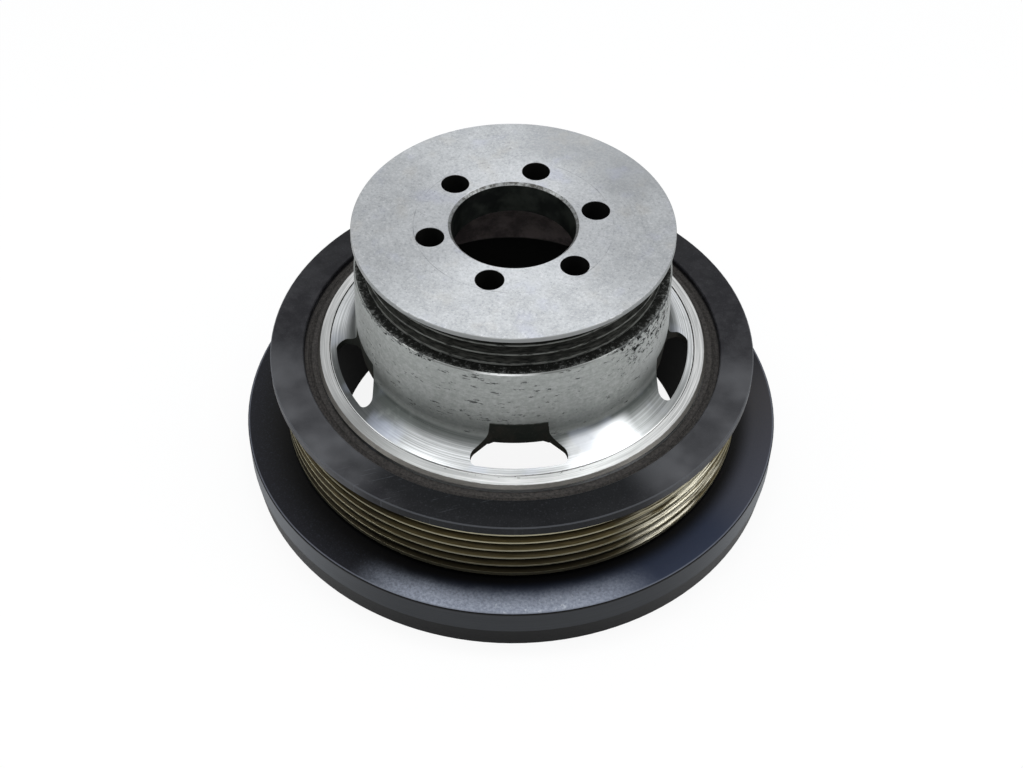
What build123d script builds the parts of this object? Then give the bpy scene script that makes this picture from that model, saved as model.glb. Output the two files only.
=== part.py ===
"""Harmonic balancer: a turned hub, a bonded rubber ring and a cast inertia ring with a belt pulley.

Millimetres, +Z up along the crankshaft axis, origin at the middle of the flat rear face that it rests on.
One window of the hub is centred on +X, and two of the bolt holes lie on the Y axis.
"""

from build123d import *

import os
from math import radians, tan

# Poly-V belt section, shared by both pulleys
rib_pitch = 3.56
groove_angle = 40.0
groove_depth = 2.6
crest_width = 0.55

# Hub: bolting plate at the front, with the pilot bore and the bolt holes
hub_height = 91.8
plate_thickness = 10.6
front_rim_radius = 47.6
front_rim_thickness = 1.5
front_edge_chamfer = 0.25
pilot_bore_radius = 18.35
pilot_chamfer = 0.9
bolt_circle_diameter = 50.0
bolt_hole_diameter = 8.5
bolt_count = 6
bolt_start_angle = 30.0

# Hub: small pulley turned into the rim of the plate
small_crest_radius = 44.5
small_groove_count = 3
small_land_width = 1.0
small_relief_width = 0.45
small_relief_depth = 1.0
shoulder_fall = 0.15

# Hub: barrel, drafted inside
barrel_top_radius = 47.5
barrel_edge_chamfer = 0.4
barrel_skirt = 4.0
barrel_top_wall = 4.3
barrel_foot_wall = 5.25
cavity_chamfer = 2.4

# Hub: dished web between the barrel and the drum
web_edge_height = 45.1
web_edge_thickness = 3.6
web_width = 8.25
web_drop = 7.5
web_dish = 1.0
web_root_fillet = 6.0

# Hub: drum that carries the rubber, with a land round its front edge
drum_outer_radius = 60.7
drum_wall = 4.8
drum_lift = 0.6
drum_chamfer = 0.6
land_width = 4.3
land_line_width = 0.5
land_line_depth = 0.2
land_fall = 0.6
land_corner_chamfer = 0.9

# Hub: windows through the web, straight down, beside a cast wall that runs out on the foot of the barrel
window_count = 5
window_cut_height = 20.0
window_rim = 1.2
window_corner_radius = 2.1
window_side_angle = 65.6
window_side_reach = 12.55
cast_wall_set_back = 0.95
cast_wall_rise = 5.4

# Rubber ring, recessed at both ends, with a sharp moulding bead near its outer edge
rubber_thickness = 4.3
rubber_recess = 1.9
bead_width = 1.2
bead_height = 0.5
bead_inset = 1.9

# Inertia ring: rear disc, main pulley and front rim in one casting
ring_height = 44.15
main_rim_radius = 75.3
main_rim_thickness = 3.0
main_crest_radius = 72.0
main_groove_count = 6
main_land_width = 1.3
main_relief_depth = 1.2
ring_edge_chamfer = 0.35
ring_bore_chamfer = 0.3
disc_radius = 85.0
disc_thickness = 16.4
disc_edge_chamfer = 0.3
disc_band_height = 8.0
disc_bottom_radius = 84.0
disc_bottom_chamfer = 0.6

# Sizes that follow from those above
flank_slope = tan(radians(groove_angle / 2))
groove_width = rib_pitch - crest_width
root_width = groove_width - 2 * groove_depth * flank_slope
plate_bottom = hub_height - plate_thickness
drum_inner_radius = drum_outer_radius - drum_wall
web_edge_radius = drum_outer_radius - land_width
barrel_foot_radius = web_edge_radius - web_width
barrel_foot_height = web_edge_height + web_drop
barrel_bottom = barrel_foot_height - barrel_skirt
ring_inner_radius = drum_outer_radius + rubber_thickness
bolt_circle_radius = bolt_circle_diameter / 2
cavity_top_radius = small_crest_radius - groove_depth - barrel_top_wall
cavity_foot_radius = barrel_foot_radius - barrel_foot_wall


def groove_section(rim_radius, rim_bottom, crest_radius, count):
    """Corners (radius, height) of the belt grooves, from the rim above them down to the last crest."""
    top = rim_bottom - (rim_radius - crest_radius) * flank_slope
    corners = [(rim_radius, rim_bottom)]
    for number in range(count):
        middle = top - groove_width / 2 - number * rib_pitch
        if number:
            corners.append((crest_radius, middle + groove_width / 2))
        corners.append((crest_radius - groove_depth, middle + root_width / 2))
        corners.append((crest_radius - groove_depth, middle - root_width / 2))
        corners.append((crest_radius, middle - groove_width / 2))
    return corners


def corner(outline, radius, height):
    """The corner of an outline that lies nearest to a radius and a height."""
    return outline.vertices().sort_by_distance((radius, height, 0))[0]


# ---------------------------------------------------------------- hub
small_grooves = groove_section(
    front_rim_radius, hub_height - front_rim_thickness, small_crest_radius, small_groove_count
)
small_land_bottom = small_grooves[-1][1] - small_land_width
shoulder_height = small_land_bottom - small_relief_width
barrel_edge_height = shoulder_height - shoulder_fall
land_inner_radius = web_edge_radius + land_line_width
land_outer_height = web_edge_height - land_fall

# outline of one window, widening from the barrel to the drum
with BuildSketch() as window:
    with BuildLine():
        side_spread = window_side_reach * tan(radians(window_side_angle))
        Polyline(
            (drum_inner_radius - window_side_reach, 0),
            (drum_inner_radius, side_spread),
            (drum_inner_radius, -side_spread),
            close=True,
        )
    make_face()
    Circle(drum_inner_radius - window_rim, mode=Mode.INTERSECT)
    fillet(window.vertices().sort_by(Axis.X)[-2:], window_corner_radius)

# all the windows, less the cast wall that stands behind them
cast_wall_foot_radius = barrel_foot_radius - cast_wall_set_back
cast_wall_top_height = barrel_foot_height + cast_wall_rise
window_base_height = web_edge_height - web_edge_thickness
window_top_height = window_base_height + window_cut_height
barrel_slope = (barrel_foot_radius - barrel_top_radius) / (barrel_edge_height - barrel_foot_height)
cast_wall_top_radius = barrel_foot_radius - barrel_slope * (cast_wall_top_height - barrel_foot_height)
cast_wall_slope = (cast_wall_top_radius - cast_wall_foot_radius) / (cast_wall_top_height - barrel_bottom)
core_base_radius = cast_wall_foot_radius - cast_wall_slope * (barrel_bottom - window_base_height)
core_top_radius = cast_wall_top_radius + cast_wall_slope * (window_top_height - cast_wall_top_height)

with BuildPart() as window_core:
    with BuildSketch(Plane.XY.offset(window_base_height)):
        with PolarLocations(0, window_count):
            add(window.sketch)
    extrude(amount=window_cut_height)
    with BuildSketch(Plane.XZ):
        with BuildLine():
            Polyline(
                (0, window_base_height),
                (core_base_radius, window_base_height),
                (core_top_radius, window_top_height),
                (0, window_top_height),
                close=True,
            )
        make_face()
    revolve(axis=Axis.Z, mode=Mode.SUBTRACT)

with BuildPart() as hub:
    with BuildSketch(Plane.XZ) as hub_section:
        # plate, small pulley and barrel
        with BuildLine():
            Polyline(
                (pilot_bore_radius, plate_bottom),
                (pilot_bore_radius, hub_height - pilot_chamfer),
                (pilot_bore_radius + pilot_chamfer, hub_height),
                (front_rim_radius, hub_height),
                *small_grooves,
                (small_crest_radius, small_land_bottom),
                (small_crest_radius - small_relief_depth, small_land_bottom),
                (small_crest_radius - small_relief_depth, shoulder_height),
                (barrel_top_radius, barrel_edge_height),
                (barrel_foot_radius, barrel_foot_height),
                (barrel_foot_radius, barrel_bottom),
                (cavity_foot_radius, barrel_bottom),
                (cavity_top_radius, plate_bottom),
                close=True,
            )
        make_face()
        # web, dished above and straight below
        with BuildLine():
            web_start = (barrel_foot_radius, barrel_foot_height)
            web_end = (web_edge_radius, web_edge_height)
            back_start = (barrel_foot_radius, barrel_foot_height - web_edge_thickness)
            back_end = (web_edge_radius, web_edge_height - web_edge_thickness)
            SagittaArc(web_start, web_end, -web_dish)
            Polyline(web_end, back_end, back_start, web_start)
        make_face()
        # drum and its front land, set off from the web by a fine turned line
        with BuildLine():
            Polyline(
                (drum_inner_radius, drum_lift),
                (drum_outer_radius, drum_lift),
                (drum_outer_radius, land_outer_height),
                (land_inner_radius, web_edge_height),
                (web_edge_radius + land_line_width / 2, web_edge_height - land_line_depth),
                (web_edge_radius, web_edge_height),
                (drum_inner_radius, web_edge_height - web_edge_thickness / 2),
                close=True,
            )
        make_face()
        fillet(corner(hub_section, barrel_foot_radius, barrel_foot_height), web_root_fillet)
        chamfer(corner(hub_section, barrel_top_radius, barrel_edge_height), barrel_edge_chamfer)
        chamfer(corner(hub_section, cavity_top_radius, plate_bottom), cavity_chamfer)
        chamfer(corner(hub_section, front_rim_radius, hub_height), front_edge_chamfer)
        chamfer(corner(hub_section, drum_outer_radius, land_outer_height), land_corner_chamfer)
        chamfer(corner(hub_section, drum_outer_radius, drum_lift), drum_chamfer)
        chamfer(corner(hub_section, drum_inner_radius, drum_lift), drum_chamfer)
    revolve(axis=Axis.Z)

    # bolt holes through the plate
    with Locations((0, 0, hub_height)):
        with PolarLocations(bolt_circle_radius, bolt_count, start_angle=bolt_start_angle):
            Hole(bolt_hole_diameter / 2, depth=plate_thickness)

    # windows through the web
    add(window_core.part, mode=Mode.SUBTRACT)
hub.part.label = "hub"

# ---------------------------------------------------------------- rubber ring
rubber_top = ring_height - rubber_recess
bead_radius = ring_inner_radius - bead_inset

with BuildPart() as rubber_ring:
    with BuildSketch(Plane.XZ):
        with BuildLine():
            Polyline(
                (drum_outer_radius, rubber_recess),
                (ring_inner_radius, rubber_recess),
                (ring_inner_radius, rubber_top),
                (bead_radius + bead_width / 2, rubber_top),
                (bead_radius, rubber_top + bead_height),
                (bead_radius - bead_width / 2, rubber_top),
                (drum_outer_radius, rubber_top),
                close=True,
            )
        make_face()
    revolve(axis=Axis.Z)
rubber_ring.part.label = "rubber_ring"

# ---------------------------------------------------------------- inertia ring
main_grooves = groove_section(
    main_rim_radius, ring_height - main_rim_thickness, main_crest_radius, main_groove_count
)
main_land_bottom = main_grooves[-1][1] - main_land_width

with BuildPart() as inertia_ring:
    with BuildSketch(Plane.XZ) as ring_section:
        with BuildLine():
            Polyline(
                (ring_inner_radius, 0),
                (ring_inner_radius, ring_height),
                (main_rim_radius, ring_height),
                *main_grooves,
                (main_crest_radius, main_land_bottom),
                (main_crest_radius - main_relief_depth, main_land_bottom),
                (main_crest_radius - main_relief_depth, disc_thickness),
                (disc_radius, disc_thickness),
                (disc_radius, disc_band_height),
                (disc_bottom_radius, 0),
                close=True,
            )
        make_face()
        chamfer(corner(ring_section, main_rim_radius, ring_height), ring_edge_chamfer)
        chamfer(corner(ring_section, ring_inner_radius, ring_height), ring_bore_chamfer)
        chamfer(corner(ring_section, ring_inner_radius, 0), ring_bore_chamfer)
        chamfer(corner(ring_section, disc_radius, disc_thickness), disc_edge_chamfer)
        chamfer(corner(ring_section, disc_bottom_radius, 0), disc_bottom_chamfer)
    revolve(axis=Axis.Z)
inertia_ring.part.label = "inertia_ring"

os.makedirs("parts", exist_ok=True)
for piece in (hub, rubber_ring, inertia_ring):
    export_step(piece.part, f"parts/{piece.part.label}.step")
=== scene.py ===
from math import cos, radians, sin

import bpy
from mathutils import Matrix, Vector


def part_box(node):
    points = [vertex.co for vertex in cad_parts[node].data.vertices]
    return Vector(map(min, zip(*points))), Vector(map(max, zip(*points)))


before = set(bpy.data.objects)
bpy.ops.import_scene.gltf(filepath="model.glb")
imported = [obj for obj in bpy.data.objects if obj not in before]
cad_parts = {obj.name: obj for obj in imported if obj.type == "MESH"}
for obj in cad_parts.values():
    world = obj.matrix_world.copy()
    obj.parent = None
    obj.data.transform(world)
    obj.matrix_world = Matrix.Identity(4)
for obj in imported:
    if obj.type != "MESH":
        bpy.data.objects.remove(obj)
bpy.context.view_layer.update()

# The harmonic balancer's three pieces keep their CAD shape. This script gives each its finish, and
# adds the floor, the lamps and the camera. Sizes are millimetres from the middle of the rear face,
# with +Z forwards.
MM = 0.001

# Heights and radii that the finishes follow, read from the frame where a node's box gives them
hub_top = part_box("hub")[1].z / MM
drum_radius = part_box("hub")[1].x / MM
disc_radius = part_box("inertia_ring")[1].x / MM
rubber_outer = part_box("rubber_ring")[1].x / MM

# The bolting plate and the small pulley in its rim
plate_under = hub_top - 10.6
front_rim = 47.6
rim_bottom = hub_top - 1.5
scribed_ring = 29.3
bore_radius = 18.35
bore_chamfer = 0.9
bolt_circle = 25.0
bolt_hole = 4.25
bolt_angles = range(30, 390, 60)
groove_depth = 2.6
small_crest = 44.5
small_root = small_crest - groove_depth

# The barrel, the web and its windows, and the drum's front land
shoulder = 77.6
barrel_edge = shoulder - 0.55
barrel_top_radius, barrel_foot_radius = 47.5, 48.15
barrel_foot = 52.6
barrel_bottom = 48.6
cast_wall_top = 58.0
cast_wall_radius = 47.2
web_edge = 56.4
window_outer = web_edge - 1.2
land_height = 45.1
land_line = 56.9

# The main pulley and the rear disc
rim_radius = 75.3
main_crest = 72.0
main_root = main_crest - groove_depth
groove_bottom = 17.9
groove_top = 41.2
disc_top = 16.4
disc_band = 8.0

# The camera looks at the front window from above, turned a little to the right of the -Y direction
heading = radians(15.23)
camera_distance = 363.8
camera_height = 407.3
camera_pitch = 0.8117
camera_roll = 0.0130
focal_length = 57.8
lamp_aim_height = 40.0


def round_the_axis(side_angle):
    """The direction that lies side_angle degrees to the right of the camera's side, in radians."""
    return heading + radians(side_angle - 90)


def paint(red, green, blue):
    """A colour written as 0 to 255 on screen, as the linear values that shaders take."""
    shades = []
    for shade in (red, green, blue):
        part = shade / 255
        shades.append(part / 12.92 if part <= 0.04045 else ((part + 0.055) / 1.055) ** 2.4)
    return (*shades, 1.0)


class Signal:
    """A number that varies over a surface, so that masks can be written as plain sums."""

    def __init__(self, graph, socket):
        self.graph = graph
        self.socket = socket

    def __add__(self, other):
        return self.graph.number("ADD", self, other)

    def __sub__(self, other):
        return self.graph.number("SUBTRACT", self, other)

    def __rsub__(self, other):
        return self.graph.number("SUBTRACT", other, self)

    def __mul__(self, other):
        return self.graph.number("MULTIPLY", self, other)


class Graph:
    """A node tree that starts empty, with short ways to fill it."""

    def __init__(self, tree):
        self.tree = tree
        tree.nodes.clear()

    def add(self, kind, **settings):
        """A new node, set up by its properties."""
        node = self.tree.nodes.new(kind)
        for name, value in settings.items():
            setattr(node, name, value)
        return node

    def feed(self, socket, value):
        """Links a signal or a socket, or writes a plain value."""
        if isinstance(value, Signal):
            value = value.socket
        if isinstance(value, bpy.types.NodeSocket):
            self.tree.links.new(value, socket)
        else:
            socket.default_value = value

    def make(self, kind, **inputs):
        """The first output of a new node, with its inputs fed by name and _ for a space."""
        node = self.add(kind)
        for name, value in inputs.items():
            self.feed(node.inputs[name.replace("_", " ")], value)
        return node.outputs[0]

    def number(self, operation, *values):
        """A sum on signals and plain values."""
        node = self.add("ShaderNodeMath", operation=operation)
        for socket, value in zip(node.inputs, values):
            self.feed(socket, value)
        return Signal(self, node.outputs[0])

    def largest(self, *values):
        """The largest of several signals, or 0."""
        total = 0.0
        for value in values:
            total = self.number("MAXIMUM", total, value)
        return total

    def choose(self, share, low, high):
        """Shader low where share is 0, and high where it is 1."""
        node = self.add("ShaderNodeMixShader")
        for socket, value in zip(node.inputs, (share, low, high)):
            self.feed(socket, value)
        return node.outputs[0]

    def show(self, ending, shader):
        """Ends the tree: shader is what is seen."""
        self.feed(self.add(ending).inputs["Surface"], shader)


class Finish(Graph):
    """One material, with the part's radius, height and directions at hand in millimetres.

    It is built up from a ground, which covers the whole piece, by laying other surfaces over it.
    """

    def __init__(self, name):
        self.material = bpy.data.materials.new(name)
        self.material.use_nodes = True
        super().__init__(self.material.node_tree)
        place = self.add("ShaderNodeTexCoord")
        self.position = self.vector("SCALE", place.outputs["Object"], scale=1 / MM)
        self.flat = self.vector("MULTIPLY", self.position, (1, 1, 0))
        self.direction = self.vector("NORMALIZE", self.flat)
        self.radius = self.measure("LENGTH", self.flat)
        self.height = self.measure("DOT_PRODUCT", self.position, (0, 0, 1))
        self.normal = place.outputs["Normal"]
        self.outward = self.measure("DOT_PRODUCT", self.normal, self.direction)
        self.upward = self.measure("DOT_PRODUCT", self.normal, (0, 0, 1))

    def vector_math(self, operation, first, second, scale=None):
        """The outputs of a sum on vectors."""
        node = self.add("ShaderNodeVectorMath", operation=operation)
        self.feed(node.inputs[0], first)
        if second is not None:
            self.feed(node.inputs[1], second)
        if scale is not None:
            self.feed(node.inputs["Scale"], scale)
        return node.outputs

    def vector(self, operation, first, second=None, scale=None):
        """A sum on vectors that gives a vector."""
        return self.vector_math(operation, first, second, scale)["Vector"]

    def measure(self, operation, first, second=None):
        """A sum on vectors that gives a number."""
        return Signal(self, self.vector_math(operation, first, second)["Value"])

    def rise(self, value, start, end):
        """0 before start, 1 after end, smooth between them."""
        node = self.add("ShaderNodeMapRange", interpolation_type="SMOOTHSTEP")
        self.feed(node.inputs["Value"], value)
        self.feed(node.inputs["From Min"], start)
        self.feed(node.inputs["From Max"], end)
        return Signal(self, node.outputs["Result"])

    def band(self, value, low, high, soft):
        """1 between low and high, with edges that are soft wide."""
        half = soft / 2
        return self.rise(value, low - half, low + half) * self.rise(value, high + half, high - half)

    def facing(self, side_angle, spread):
        """1 on one side of the part, as round_the_axis counts it, fading out over spread degrees."""
        angle = round_the_axis(side_angle)
        along = self.measure("DOT_PRODUCT", self.direction, (cos(angle), sin(angle), 0))
        full_within = spread * 0.35
        return self.rise(along, cos(radians(spread)), cos(radians(full_within)))

    def noise(self, size, place=None, detail=3.0, roughness=0.55):
        """Smooth noise from 0 to 1, with blotches about size wide."""
        node = self.add("ShaderNodeTexNoise")
        self.feed(node.inputs["Vector"], self.position if place is None else place)
        self.feed(node.inputs["Scale"], 1 / size)
        self.feed(node.inputs["Detail"], detail)
        self.feed(node.inputs["Roughness"], roughness)
        return Signal(self, node.outputs["Fac"])

    def streaks(self, around, across, detail=3.0, roughness=0.55):
        """Noise in marks that run round the axis: around long, and across wide."""
        circle = self.vector("SCALE", self.direction, scale=disc_radius / around)
        lift = self.make("ShaderNodeCombineXYZ", Z=(self.radius - self.height) * (1 / across))
        return self.noise(1.0, self.vector("ADD", circle, lift), detail, roughness)

    def mix(self, share, low, high):
        """Colour low where share is 0, and high where it is 1."""
        node = self.add("ShaderNodeMix", data_type="RGBA")
        self.feed(node.inputs[0], share)
        self.feed(node.inputs[6], low)
        self.feed(node.inputs[7], high)
        return node.outputs[2]

    def blend(self, share, low, high):
        """Number low where share is 0, and high where it is 1."""
        node = self.add("ShaderNodeMix", data_type="FLOAT")
        self.feed(node.inputs[0], share)
        self.feed(node.inputs[2], low)
        self.feed(node.inputs[3], high)
        return Signal(self, node.outputs[0])

    def layers(self, colour, *coats):
        """A colour with coats over it, each a share and the colour that it brings."""
        for share, coat in coats:
            colour = self.mix(share, colour, coat)
        return colour

    def ground(self, colour, roughness, metal, relief):
        """The surface under all others. relief runs from 0 to 1."""
        self.colour = colour
        self.roughness = roughness
        self.metal = metal
        self.relief = relief

    def lay(self, share, colour, roughness=None, metal=None, relief=None):
        """Lays a surface over the present one where share is 1. What isn't given stays."""
        self.colour = self.mix(share, self.colour, colour)
        if roughness is not None:
            self.roughness = self.blend(share, self.roughness, roughness)
        if metal is not None:
            self.metal = self.blend(share, self.metal, metal)
        if relief is not None:
            self.relief = self.blend(share, self.relief, relief)

    def close(self, depth, specular, anisotropy=0.0):
        """Ends the material in one shader, with a relief that stands depth millimetres high."""
        inputs = {
            "Base_Color": self.colour,
            "Roughness": self.roughness,
            "Metallic": self.metal,
            "Specular_IOR_Level": specular,
            "Normal": self.make("ShaderNodeBump", Distance=depth * MM, Height=self.relief),
        }
        if anisotropy:
            cut = self.vector("CROSS_PRODUCT", (0, 0, 1), self.direction)
            inputs["Anisotropic"] = anisotropy
            inputs["Tangent"] = self.vector("CROSS_PRODUCT", self.normal, cut)
        self.show("ShaderNodeOutputMaterial", self.make("ShaderNodeBsdfPrincipled", **inputs))
        return self.material


# ---------------------------------------------------------------- hub
def barrel_dirt(f):
    """Rows of dark pits on the barrel, and the grime that has run down from the small pulley."""
    pits = f.rise(f.streaks(5.5, 0.85, detail=4, roughness=0.68), 0.56, 0.62)
    rows = f.rise(f.streaks(22.0, 2.2, detail=1), 0.46, 0.54)
    clusters = f.rise(f.noise(4.5, detail=2), 0.47, 0.55)
    right_smear = f.facing(58, 27) * f.rise(f.height, shoulder - 19.6, shoulder - 5.6)
    left_smear = f.facing(-48, 30) * f.rise(f.height, shoulder - 3.1, shoulder - 0.6)
    under_edge = f.rise(f.height, shoulder - 2.0, shoulder - 0.4)
    grime = f.streaks(3.4, 1.5, detail=6, roughness=0.74)
    grime = grime + right_smear * 0.155 + left_smear * 0.09 + under_edge * 0.07
    return f.largest(pits * rows * clusters * 0.85, f.rise(grime, 0.65, 0.72))


def barrel(f):
    """Turned outside of the barrel: greenish grey, a little darker towards the top, with painted
    shade on its front and in its root, and a painted highlight on its right.
    """
    dirt = barrel_dirt(f)
    cloud = f.streaks(3.0, 1.2, detail=5, roughness=0.65)
    lines = f.streaks(40.0, 0.3, detail=1)
    speckle = f.noise(0.8, detail=3, roughness=0.7)
    colour = f.layers(
        f.mix(f.rise(cloud, 0.34, 0.66), paint(172, 176, 173), paint(203, 206, 204)),
        (f.rise(lines, 0.5, 0.7) * 0.4, paint(158, 163, 159)),
        (f.rise(speckle, 0.5, 0.72) * 0.4, paint(136, 140, 137)),
        (f.rise(speckle, 0.46, 0.30) * 0.4, paint(222, 225, 223)),
        # Painted shade on the front, and a painted highlight on the right side.
        (f.facing(0, 60) * 0.3, paint(154, 157, 155)),
        (f.facing(78, 36) * 0.5, paint(226, 229, 228)),
        (f.rise(f.height, shoulder - 12.6, shoulder - 1.6) * 0.3, paint(140, 143, 141)),
        # Painted shade in the root corner, where the barrel meets the web.
        (f.rise(f.height, barrel_foot + 10.9, barrel_foot + 0.9) * 0.68, paint(106, 110, 107)),
        (dirt, paint(20, 21, 20)))
    f.ground(colour, roughness=f.blend(dirt, 0.34, 0.75), metal=1 - dirt, relief=dirt * -1.0)


def web(f):
    """Dished web: bright, with fine turning lines; painted shade on its left and right, on the front
    of its outer edge and in its root, and a painted highlight at the front right just off the root.
    """
    share = f.rise(f.height, barrel_foot + 3.0, barrel_foot - 0.5)
    share = share * f.rise(f.radius, barrel_foot_radius, barrel_foot_radius + 0.65)
    lines = f.streaks(90.0, 0.55, detail=1)
    cloud = f.noise(5.0, detail=4)
    tint = f.noise(11.0, detail=1)
    outer = f.rise(f.radius, web_edge - 2.8, web_edge - 1.4)
    root = f.rise(f.radius, web_edge - 3.8, barrel_foot_radius + 0.85)
    off_root = f.rise(f.radius, barrel_foot_radius + 0.45, barrel_foot_radius + 2.25)
    colour = f.layers(
        f.mix(f.rise(lines, 0.35, 0.65), paint(166, 169, 170), paint(222, 225, 227)),
        # Painted shade on the left and right sides, and on the outer edge at the front.
        (f.facing(-60, 38) * 0.95, paint(58, 61, 61)),
        (f.facing(54, 27) * 0.7, paint(100, 103, 102)),
        (f.facing(0, 40) * outer * 0.35, paint(128, 130, 130)),
        # Painted shade in the root, and a painted highlight just off it at the front right.
        (root * 0.93, paint(70, 74, 72)),
        (f.facing(30, 15) * off_root * 0.8, paint(232, 235, 237)),
        (f.rise(cloud, 0.52, 0.72) * 0.2, paint(132, 137, 135)),
        (f.rise(tint, 0.52, 0.68) * 0.2, paint(178, 186, 206)))
    f.lay(share, colour, roughness=f.blend(lines, 0.24, 0.36), metal=1.0, relief=lines * 0.6)


def land(f):
    """Front land of the drum, with painted shade on its left and front right, its fine line painted
    dark at the front and light at the sides, dark specks, and the brown edge beside the rubber.
    """
    share = f.rise(f.radius, web_edge - 0.1, web_edge + 0.1) * f.rise(f.upward, 0.2, 0.5)
    share = share * f.rise(f.height, land_height + 1.4, land_height + 0.4)
    light_streaks = f.streaks(25.0, 0.4)
    front = f.facing(0, 60)
    line = f.band(f.radius, web_edge, land_line, 0.2) * share
    specks = f.rise(f.streaks(2.0, 0.7, detail=4), 0.60, 0.66) * f.facing(4, 34)
    specks = specks * f.rise(f.radius, web_edge + 2.0, web_edge + 0.8)
    wear_and_sheen = f.streaks(3.0, 0.6, detail=5, roughness=0.7)
    edge = f.rise(f.radius + wear_and_sheen * 0.35, drum_radius - 0.8, drum_radius - 0.62)
    colour = f.layers(
        f.mix(f.rise(light_streaks, 0.3, 0.7), paint(166, 168, 168), paint(216, 217, 217)),
        # Painted shade on the left and front right.
        (f.facing(-72, 46) * 0.4, paint(134, 136, 136)),
        (f.facing(28, 26) * 0.35, paint(146, 148, 148)),
        (f.facing(-36, 30) * 0.7, paint(118, 120, 120)),
        # The fine line is painted dark at the front as shade, and light at the sides as a highlight.
        (line * front * 0.5, paint(60, 62, 62)),
        (line * (1 - front) * 0.7, paint(232, 234, 234)),
        (specks * 0.8, paint(46, 44, 42)),
        (edge, f.mix(wear_and_sheen, paint(60, 59, 56), paint(122, 120, 116))))
    f.lay(share, colour)


def turned_edges(f):
    """Top edge of the barrel, with a painted highlight at the front and duller elsewhere, and the
    thin rim in front of the small pulley.
    """
    edge = f.rise(f.height, barrel_edge - 0.07, barrel_edge + 0.03) * f.rise(f.outward, 0.2, 0.5)
    edge = edge * f.rise(f.height, shoulder - 0.1, shoulder - 0.3)
    # Painted highlight on the barrel's top edge at the front.
    f.lay(edge * 0.85, f.mix(f.facing(-2, 14), paint(104, 106, 105), paint(200, 202, 202)))
    rim = f.band(f.height, rim_bottom, hub_top - 0.1, 0.1)
    f.lay(rim * f.rise(f.radius, front_rim - 1.6, front_rim - 1.1), paint(140, 142, 142))


def small_pulley(f):
    """Small belt pulley, black with grime and with thin light crests, and the ledge under it."""
    grooves = f.band(f.height, shoulder - 0.08, rim_bottom, 0.1)
    grooves = grooves * f.rise(f.radius, small_root - 3.9, small_root - 1.9)
    ledge = f.rise(f.height, shoulder - 0.42, shoulder - 0.32)
    ledge = ledge * f.band(f.radius, small_crest - 1.5, barrel_top_radius - 0.45, 0.1)
    grime = f.streaks(7.0, 0.8, detail=5, roughness=0.65)
    crest = f.rise(f.radius, small_crest - 0.12, small_crest - 0.03) * f.rise(grime, 0.36, 0.56)
    wear_and_sheen = f.noise(1.0, detail=5, roughness=0.75)
    outer = f.rise(f.radius, small_crest + 0.9, barrel_top_radius - 0.3)
    flecks = f.rise(wear_and_sheen + outer * 0.12, 0.52, 0.72)
    colour = f.layers(
        f.mix(f.rise(grime, 0.3, 0.7), paint(22, 23, 22), paint(66, 67, 63)),
        (crest * 0.7, paint(118, 120, 116)),
        (f.rise(f.height, shoulder + 0.9, shoulder + 0.4),
         f.mix(flecks, paint(27, 28, 26), paint(108, 110, 108))))
    f.lay(f.largest(grooves, ledge), colour, roughness=0.55, metal=0.3)


def cast_share(f):
    """Surfaces left as cast: inside the drum and barrel, the windows and the undersides."""
    taper = (barrel_foot_radius - barrel_top_radius) / (shoulder - barrel_foot)
    turned_skin = barrel_foot_radius - (f.height - barrel_foot) * taper
    behind = f.rise(turned_skin - f.radius, 0.02, 0.09)
    behind = behind * f.rise(f.height, cast_wall_top + 0.2, cast_wall_top)
    behind = behind * f.rise(f.radius, cast_wall_radius - 3.2, cast_wall_radius - 1.2)
    upright = f.rise(f.number("ABSOLUTE", f.upward), 0.022, 0.014)
    upright = upright * f.rise(f.height, cast_wall_top - 2.0, cast_wall_top - 3.0)
    upright = upright * f.rise(f.radius, cast_wall_radius - 0.7, cast_wall_radius - 0.2)
    upright = upright * f.rise(f.radius, window_outer + 0.4, window_outer)
    inside = f.rise(f.outward, -0.05, -0.15)
    under = f.rise(f.upward, -0.4, -0.6)
    under = under * f.rise(f.radius, cast_wall_radius - 0.2, cast_wall_radius - 1.2)
    drum = f.rise(f.height, land_height - 2.1, land_height - 3.1)
    return f.largest(behind, upright, inside, under, drum)


def cast_skin(f):
    """Dark cast skin, rust-brown inside the barrel, with painted shade making it black inside the
    drum.
    """
    grain = f.noise(0.9, detail=4, roughness=0.7)
    stain = f.noise(8.0)
    inside = f.rise(f.radius, cast_wall_radius - 0.8, cast_wall_radius - 1.8)
    inside = inside * f.rise(f.height, barrel_bottom - 0.6, barrel_bottom + 0.9)
    rust = f.rise(stain + grain * 0.3, 0.5, 0.8)
    brow = f.rise(f.height + grain * 1.4, cast_wall_top - 0.5, cast_wall_top + 0.6)
    brow = brow * f.rise(f.radius, cast_wall_radius - 1.8, cast_wall_radius - 0.8)
    deep = f.rise(f.height, land_height - 1.1, land_height - 4.1)
    colour = f.layers(
        f.mix(f.rise(stain, 0.4, 0.65), paint(28, 31, 28), paint(40, 38, 34)),
        (f.rise(grain, 0.5, 0.8) * 0.5, paint(60, 60, 56)),
        (inside, f.mix(rust, paint(88, 81, 81), paint(132, 122, 121))),
        (brow * 0.7, paint(74, 76, 70)),
        # Painted shade: near black deep inside the drum.
        (deep, f.mix(grain, paint(4, 4, 4), paint(12, 12, 11))))
    f.lay(cast_share(f), colour, roughness=0.6, metal=0.1, relief=grain)


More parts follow.
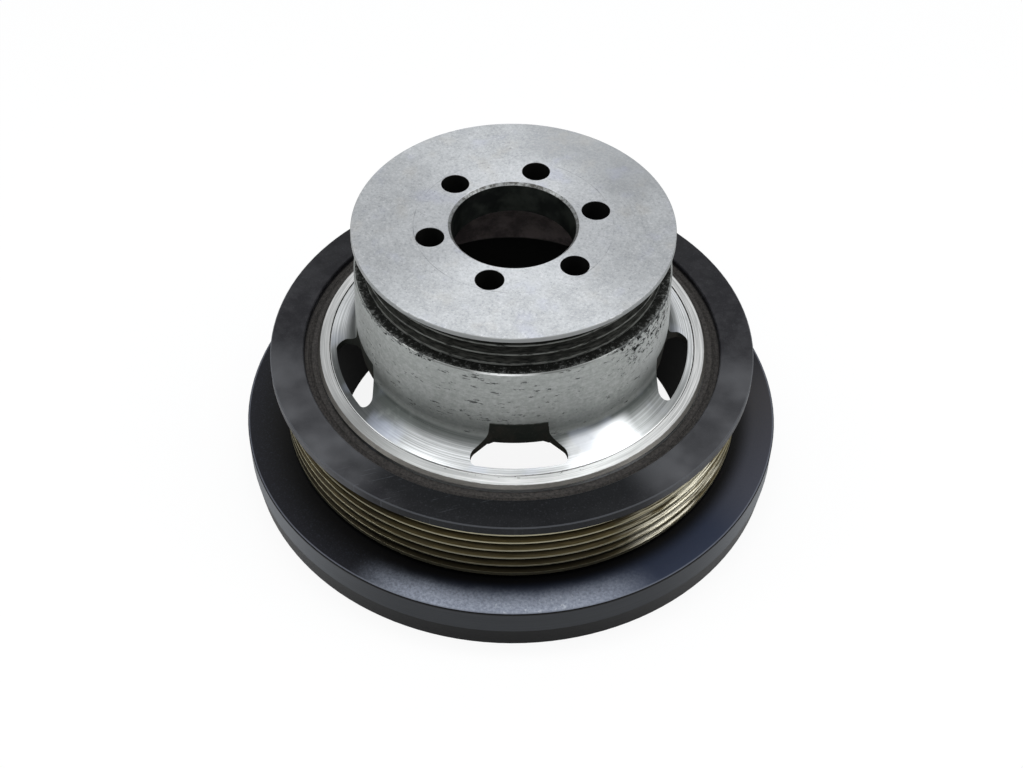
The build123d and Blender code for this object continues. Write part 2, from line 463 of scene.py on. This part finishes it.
def pilot_bore(f):
    """Wall of the pilot bore, painted dark as shade with stains over it, and the turned chamfer at
    its mouth.
    """
    wall = f.band(f.radius, bore_radius - 0.1, bore_radius + 0.05, 0.05)
    wall = wall * f.rise(f.height, plate_under - 0.1, plate_under)
    stain = f.rise(f.noise(7.0, detail=4), 0.4, 0.7)
    mouth = f.band(f.radius, bore_radius + 0.05, bore_radius + bore_chamfer + 0.05, 0.05)
    mouth = mouth * f.rise(f.height, hub_top - bore_chamfer - 0.1, hub_top - bore_chamfer)
    wear_and_sheen = f.rise(f.noise(1.6, detail=5, roughness=0.7), 0.35, 0.6)
    f.lay(mouth, f.mix(wear_and_sheen, paint(74, 73, 70), paint(140, 143, 144)), roughness=0.45, metal=1.0)
    # The bore wall is painted dark as shade, varied by stains.
    f.lay(wall, f.mix(stain, paint(22, 25, 24), paint(50, 54, 50)), roughness=0.4, metal=0.6)


def plate(f):
    """Bolting plate: pale mottled grey with speckles, a scribed ring and faint turning rings, with a
    painted highlight towards the middle and painted shade at the back right.
    """
    share = f.rise(f.height, hub_top - 0.12, hub_top - 0.04)
    mottle = f.noise(7.0, detail=6, roughness=0.72)
    speckle = f.noise(0.75, detail=4, roughness=0.75)
    specks = f.rise(f.noise(1.0, detail=4, roughness=0.75), 0.60, 0.70)
    patches = f.rise(f.noise(11.0, detail=2), 0.45, 0.6)
    rings = f.streaks(70.0, 0.5, detail=2)
    tint = f.noise(10.0, detail=4)
    middle = f.rise(f.radius, bolt_circle + 11.0, bolt_circle - 1.0)
    back_shade = f.facing(143, 44) * f.rise(f.radius, bolt_circle + 1.0, bolt_circle + 13.0)
    line = f.band(f.radius, scribed_ring - 0.12, scribed_ring + 0.12, 0.15)
    line = line * f.rise(f.noise(12.0, detail=1), 0.35, 0.6)
    colour = f.layers(
        f.mix(f.rise(mottle, 0.36, 0.66), paint(176, 179, 182), paint(163, 166, 169)),
        # Painted highlight: lighter towards the middle.
        (middle * 0.3, paint(196, 199, 203)),
        (f.rise(speckle, 0.48, 0.70) * 0.6, paint(130, 134, 138)),
        (f.rise(speckle, 0.46, 0.30) * 0.6, paint(206, 208, 210)),
        (specks * patches * 0.55, paint(100, 103, 106)),
        (f.rise(rings, 0.5, 0.75) * 0.25, paint(188, 190, 192)),
        # Painted shade at the back right.
        (back_shade * 0.5, paint(140, 143, 146)),
        (f.rise(tint, 0.54, 0.72) * 0.15, paint(160, 165, 200)),
        (f.rise(tint, 0.44, 0.30) * 0.15, paint(178, 172, 160)),
        (line * 0.5, paint(84, 86, 88)))
    f.lay(share, colour, roughness=0.42, metal=0.9, relief=speckle)


def bolt_holes(f):
    """Walls of the six bolt holes, painted near black as shade."""
    holes = []
    for angle in bolt_angles:
        middle = (bolt_circle * cos(radians(angle)), bolt_circle * sin(radians(angle)), 0)
        away = f.measure("DISTANCE", f.flat, middle)
        holes.append(f.rise(away, bolt_hole + 0.1, bolt_hole + 0.02))
    share = f.largest(*holes) * f.rise(f.height, hub_top - 0.02, hub_top - 0.3)
    # Painted shade: the hole walls are near black.
    f.lay(share, paint(8, 8, 7), roughness=0.6, metal=0.1)


def machined_iron():
    """The hub: turned bright outside, as cast inside and in the windows."""
    f = Finish("machined_iron")
    barrel(f)
    web(f)
    land(f)
    turned_edges(f)
    small_pulley(f)
    cast_skin(f)
    pilot_bore(f)
    plate(f)
    bolt_holes(f)
    return f.close(depth=0.02, specular=0.05, anisotropy=0.78)


# ---------------------------------------------------------------- rubber ring
def bonded_rubber():
    """Matt brown-black rubber with faint mould marks and dust, and a painted shade line where it
    meets the ring.
    """
    f = Finish("bonded_rubber")
    grain = f.noise(0.8, detail=4, roughness=0.75)
    marks = f.streaks(20.0, 0.5)
    shade_line = f.rise(f.radius, rubber_outer - 0.5, rubber_outer - 0.1)
    colour = f.layers(
        f.mix(f.rise(grain, 0.35, 0.65), paint(30, 29, 28), paint(62, 59, 57)),
        (f.rise(marks, 0.55, 0.75) * 0.4, paint(70, 66, 62)),
        # Painted shade along the rubber's outer edge, against the ring.
        (shade_line, paint(18, 17, 17)))
    f.ground(colour, roughness=f.blend(grain, 0.62, 0.8), metal=0.0, relief=grain * 0.5 + marks * 0.5)
    return f.close(depth=0.05, specular=0.2)


# ---------------------------------------------------------------- inertia ring
def fine_scratches(f):
    """Long straight scratches that cross the ring's front face at a slant."""
    slant = radians(34)
    along = f.measure("DOT_PRODUCT", f.position, (cos(slant), sin(slant), 0))
    across = f.measure("DOT_PRODUCT", f.position, (-sin(slant), cos(slant), 0))
    stretched = f.make("ShaderNodeCombineXYZ", X=along * 0.05, Y=across * 1.4)
    return f.rise(f.noise(1.0, stretched, detail=2), 0.60, 0.66) * f.facing(-22, 26)


def coated_face(f):
    """Blue-black satin coat of the ring's front face, with fine scratches; painted shade at the front
    and back, painted sheen in patches on the left and right, and a painted highlight on the rim's
    chamfer.
    """
    cloud = f.noise(8.0, detail=5, roughness=0.6)
    grain = f.noise(0.5, detail=2)
    inner = f.rise(f.radius, main_crest + 0.5, main_crest - 2.5)
    sheen_breakup = f.blend(f.rise(f.noise(15.0, detail=2), 0.3, 0.7), 0.25, 0.75)
    scratches = fine_scratches(f) * f.rise(cloud, 0.44, 0.56)
    rim = f.band(f.upward, 0.5, 0.9, 0.1) * f.rise(f.radius, rim_radius - 1.0, rim_radius - 0.7)
    black, wear_and_sheen = paint(9, 11, 14), paint(88, 89, 92)
    colour = f.layers(
        f.mix(f.rise(cloud, 0.36, 0.64), paint(24, 24, 28), paint(44, 44, 47)),
        # Painted shade at the front, deepest near the rubber.
        (f.facing(4, 44) * 0.85, black),
        (f.facing(2, 60) * inner * 0.85, black),
        # Painted sheen on the left and right, broken into patches.
        (f.facing(-61, 31) * sheen_breakup, wear_and_sheen),
        (f.facing(59, 31) * sheen_breakup, wear_and_sheen),
        # Painted shade at the back.
        (f.facing(180, 80) * 0.8, paint(12, 13, 16)),
        (f.rise(grain, 0.55, 0.8) * 0.35, paint(62, 64, 70)),
        (scratches * 0.2, paint(104, 108, 116)),
        # Painted highlight on the rim's chamfer.
        (rim * 0.6, paint(80, 82, 86)))
    f.ground(colour, roughness=f.blend(grain, 0.36, 0.5), metal=0.0, relief=grain)


def disc_face(f):
    """Front face of the disc: blue-black cast grain and scuffs at the front, with a painted pale
    sheen at its front edge and on its right, painted shade towards the grooves, and a painted
    highlight along its outer edge.
    """
    share = f.rise(f.height, disc_top + 0.3, disc_top + 0.1)
    grain = f.noise(0.45, roughness=0.6)
    cloud = f.noise(6.0, detail=4, roughness=0.6)
    wear_and_sheen = f.rise(f.noise(0.9, detail=4, roughness=0.75), 0.3, 0.7)
    reach = f.rise(f.radius + cloud * 3.0, disc_radius - 9.5, disc_radius - 1.5)
    # Painted sheen: pale at the front edge, broken up by noise.
    front_sheen = f.facing(-1, 34) * reach * f.blend(wear_and_sheen, 0.5, 1.0)
    scuffs = f.rise(f.streaks(1.6, 2.2, detail=4), 0.62, 0.68) * f.facing(6, 12)
    scuffs = scuffs * f.rise(f.radius, disc_radius - 6.0, disc_radius - 4.0)
    shaded = f.rise(f.radius, disc_radius - 6.0, disc_radius - 12.0)
    lit_edge = f.rise(f.radius, disc_radius - 0.75, disc_radius - 0.5)
    outer = f.rise(f.radius, disc_radius - 9.0, disc_radius)
    colour = f.layers(
        # Painted shade: darker towards the grooves.
        f.mix(outer, paint(10, 11, 14), paint(19, 20, 26)),
        # Painted sheen on the front right and on the right.
        (f.facing(32, 62) * 0.7, paint(48, 56, 76)),
        (f.facing(78, 30) * 0.35, paint(88, 86, 88)),
        (f.rise(grain, 0.5, 0.75) * 0.4, paint(50, 53, 64)),
        (front_sheen, paint(160, 167, 182)),
        (scuffs * 0.7, paint(190, 195, 204)),
        # Painted shade next to the grooves, and a painted highlight along the outer edge.
        (shaded, paint(2, 2, 3)),
        (lit_edge * 0.6, paint(108, 112, 122)))
    f.lay(share, colour, roughness=0.48, metal=front_sheen * 0.5, relief=grain)


def belt_grooves(f):
    """Main pulley, brassy metal where wear has cut through the coat, with thin pale crests; painted
    shade in the roots, on the left and towards the bottom, and painted highlights at the front and as
    glints on the right.
    """
    share = f.band(f.height, groove_bottom, groove_top, 0.1)
    share = share * f.rise(f.radius, rim_radius, rim_radius - 0.2)
    streak = f.streaks(9.0, 0.5, detail=5, roughness=0.65)
    patch = f.noise(7.0)
    sheen_breakup = f.streaks(30.0, 0.7, detail=4, roughness=0.6)
    # Painted highlight: glints on the right side.
    light_streaks = f.facing(47, 23) * f.rise(sheen_breakup, 0.47, 0.56)
    low = f.rise(f.height, groove_bottom + 11.1, groove_bottom + 1.1)
    low = low * (1 - f.facing(56, 36) * 0.6)
    root = f.rise(f.radius, main_crest - 0.5, main_root + 0.6)
    crest = f.rise(f.radius, main_crest - 0.14, main_crest - 0.04)
    lowest = f.rise(f.height, groove_bottom + 7.1, groove_bottom + 1.1)
    colour = f.layers(
        f.mix(f.rise(streak, 0.35, 0.7), paint(54, 48, 34), paint(112, 103, 76)),
        (f.rise(patch, 0.48, 0.66) * 0.5, paint(82, 78, 66)),
        # Painted shade on the left, and a painted highlight at the front.
        (f.facing(-62, 60) * 0.6, paint(40, 36, 26)),
        (f.facing(0, 36) * 0.3, paint(146, 134, 100)),
        (light_streaks, paint(224, 220, 202)),
        # Painted shade towards the bottom, less on the lit right, and in the roots; the crests are
        # dimmer towards the bottom.
        (low * 0.85, paint(17, 15, 11)),
        (root * 0.92, paint(11, 10, 8)),
        (crest * f.blend(lowest, 0.8, 0.3), paint(176, 171, 146)))
    f.lay(share, colour, roughness=0.36, metal=0.9, relief=streak)


def undercut(f):
    """The neck between the grooves and the disc, painted black as shade."""
    share = f.band(f.height, disc_top, groove_bottom, 0.05)
    share = share * f.rise(f.radius, main_crest + 0.1, main_crest - 0.1)
    # Painted shade: the neck is near black.
    f.lay(share, paint(3, 3, 3), metal=1.0)


def disc_side(f):
    """Side of the disc: brushed grey upper band with a painted highlight on its left and right,
    darker lower band, and a painted shadow along its upper edge.
    """
    share = f.rise(f.radius, disc_radius - 1.1, disc_radius - 1.0)
    share = share * f.rise(f.height, disc_top - 0.2, disc_top - 0.35)
    brushed = f.streaks(40.0, 0.35, detail=4, roughness=0.65)
    on_upper = f.rise(f.height, disc_band - 0.15, disc_band + 0.15)
    step = f.band(f.height, disc_band - 0.45, disc_band - 0.05, 0.2)
    lit_flanks = 1 - f.facing(4, 64)
    colour = f.layers(
        f.mix(brushed, paint(4, 4, 5), paint(18, 18, 19)),
        (step * 0.8, paint(4, 4, 5)),
        (on_upper, f.layers(
            f.mix(brushed, paint(34, 36, 38), paint(56, 58, 62)),
            # Painted highlight on the upper band's left and right.
            (lit_flanks * 0.8, f.mix(brushed, paint(90, 93, 96), paint(120, 123, 128))))))
    f.lay(share, colour, roughness=0.5, metal=1 - on_upper, relief=brushed)
    edge = f.rise(f.radius, disc_radius - 0.3, disc_radius - 0.2)
    # Painted shadow along the disc's upper edge.
    f.lay(edge * f.band(f.height, disc_top - 0.75, disc_top - 0.05, 0.1), paint(6, 6, 7))


def blackened_iron():
    """The inertia ring: blue-black coat, worn belt grooves and a brushed side."""
    f = Finish("blackened_iron")
    coated_face(f)
    disc_face(f)
    belt_grooves(f)
    undercut(f)
    disc_side(f)
    return f.close(depth=0.03, specular=0.12)


# ---------------------------------------------------------------- stage
def seen_directly(graph, by_camera=1.0, mirrored=1.0):
    """How much of the plain white a ray sees: looking at it, in a reflection or through glass."""
    path = graph.add("ShaderNodeLightPath")
    rays = {"Is Camera Ray": by_camera, "Is Glossy Ray": mirrored, "Is Transmission Ray": by_camera}
    return graph.largest(*(Signal(graph, path.outputs[ray]) * share for ray, share in rays.items()))


def make_world(daylight):
    """Soft light from all sides, and a white backdrop where it is looked at."""
    world = bpy.data.worlds.new("studio")
    bpy.context.scene.world = world
    world.use_nodes = True
    graph = Graph(world.node_tree)
    lit = graph.make("ShaderNodeBackground", Color=(0.94, 0.97, 1.0, 1.0), Strength=daylight)
    white = graph.make("ShaderNodeBackground", Color=(1.0, 1.0, 1.0, 1.0), Strength=1.0)
    graph.show("ShaderNodeOutputWorld", graph.choose(seen_directly(graph), lit, white))


def make_floor(size, glow_share, mirrored_share):
    """A plain pale floor that keeps the part's soft shadow, also where the part mirrors it."""
    bpy.ops.object.select_all(action="DESELECT")
    bpy.ops.mesh.primitive_plane_add(size=size)
    floor = bpy.context.object
    floor.name = "floor"
    material = bpy.data.materials.new("pale_floor")
    material.use_nodes = True
    graph = Graph(material.node_tree)
    matt = graph.make("ShaderNodeBsdfDiffuse", Color=(0.92, 0.92, 0.92, 1.0))
    glow = graph.make("ShaderNodeEmission", Strength=1.0)
    white_share = seen_directly(graph, glow_share, mirrored_share)
    graph.show("ShaderNodeOutputMaterial", graph.choose(white_share, matt, glow))
    floor.data.materials.append(material)


def make_lamp(name, side_angle, elevation, distance, width, depth, watts):
    """A softbox aimed at the part, from the side that round_the_axis counts. Sizes are metres."""
    angle = round_the_axis(side_angle)
    lift = radians(elevation)
    away = Vector((cos(angle) * cos(lift), sin(angle) * cos(lift), sin(lift)))
    lamp = bpy.data.lights.new(name, "AREA")
    lamp.shape = "RECTANGLE"
    lamp.size = width
    lamp.size_y = depth
    lamp.energy = watts
    holder = bpy.data.objects.new(name, lamp)
    holder.location = Vector((0, 0, lamp_aim_height * MM)) + away * distance
    holder.rotation_euler = away.to_track_quat("Z", "Y").to_euler()
    bpy.context.collection.objects.link(holder)


def make_camera():
    """The camera of the main view, above the front window and turned towards the axis."""
    camera = bpy.data.cameras.new("camera")
    camera.sensor_fit = "HORIZONTAL"
    camera.sensor_width = 36.0
    camera.lens = focal_length
    camera.clip_start = 0.01
    holder = bpy.data.objects.new("camera", camera)
    away = Vector((sin(heading), -cos(heading), 0)) * camera_distance
    place = Matrix.Translation((away + Vector((0, 0, camera_height))) * MM)
    turn = Matrix.Rotation(heading, 4, "Z") @ Matrix.Rotation(radians(90) - camera_pitch, 4, "X")
    holder.matrix_world = place @ turn @ Matrix.Rotation(camera_roll, 4, "Z")
    bpy.context.collection.objects.link(holder)
    bpy.context.scene.camera = holder


def dress(node, material):
    """Gives a CAD piece its finish."""
    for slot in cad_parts[node].material_slots:
        slot.material = material


dress("hub", machined_iron())
dress("rubber_ring", bonded_rubber())
dress("inertia_ring", blackened_iron())

make_world(daylight=0.6)
make_floor(size=4.0, glow_share=0.9, mirrored_share=0.35)
make_lamp("overhead", side_angle=180, elevation=86, distance=0.5, width=0.8, depth=0.16, watts=1.8)
make_lamp("front", side_angle=-6, elevation=50, distance=0.9, width=0.2, depth=0.2, watts=0.4)
make_lamp("right", side_angle=75, elevation=36, distance=0.8, width=0.4, depth=0.4, watts=1.0)
make_lamp("left", side_angle=-75, elevation=36, distance=0.8, width=0.3, depth=0.3, watts=0.7)
make_camera()
bpy.context.scene.view_settings.view_transform = "Standard"
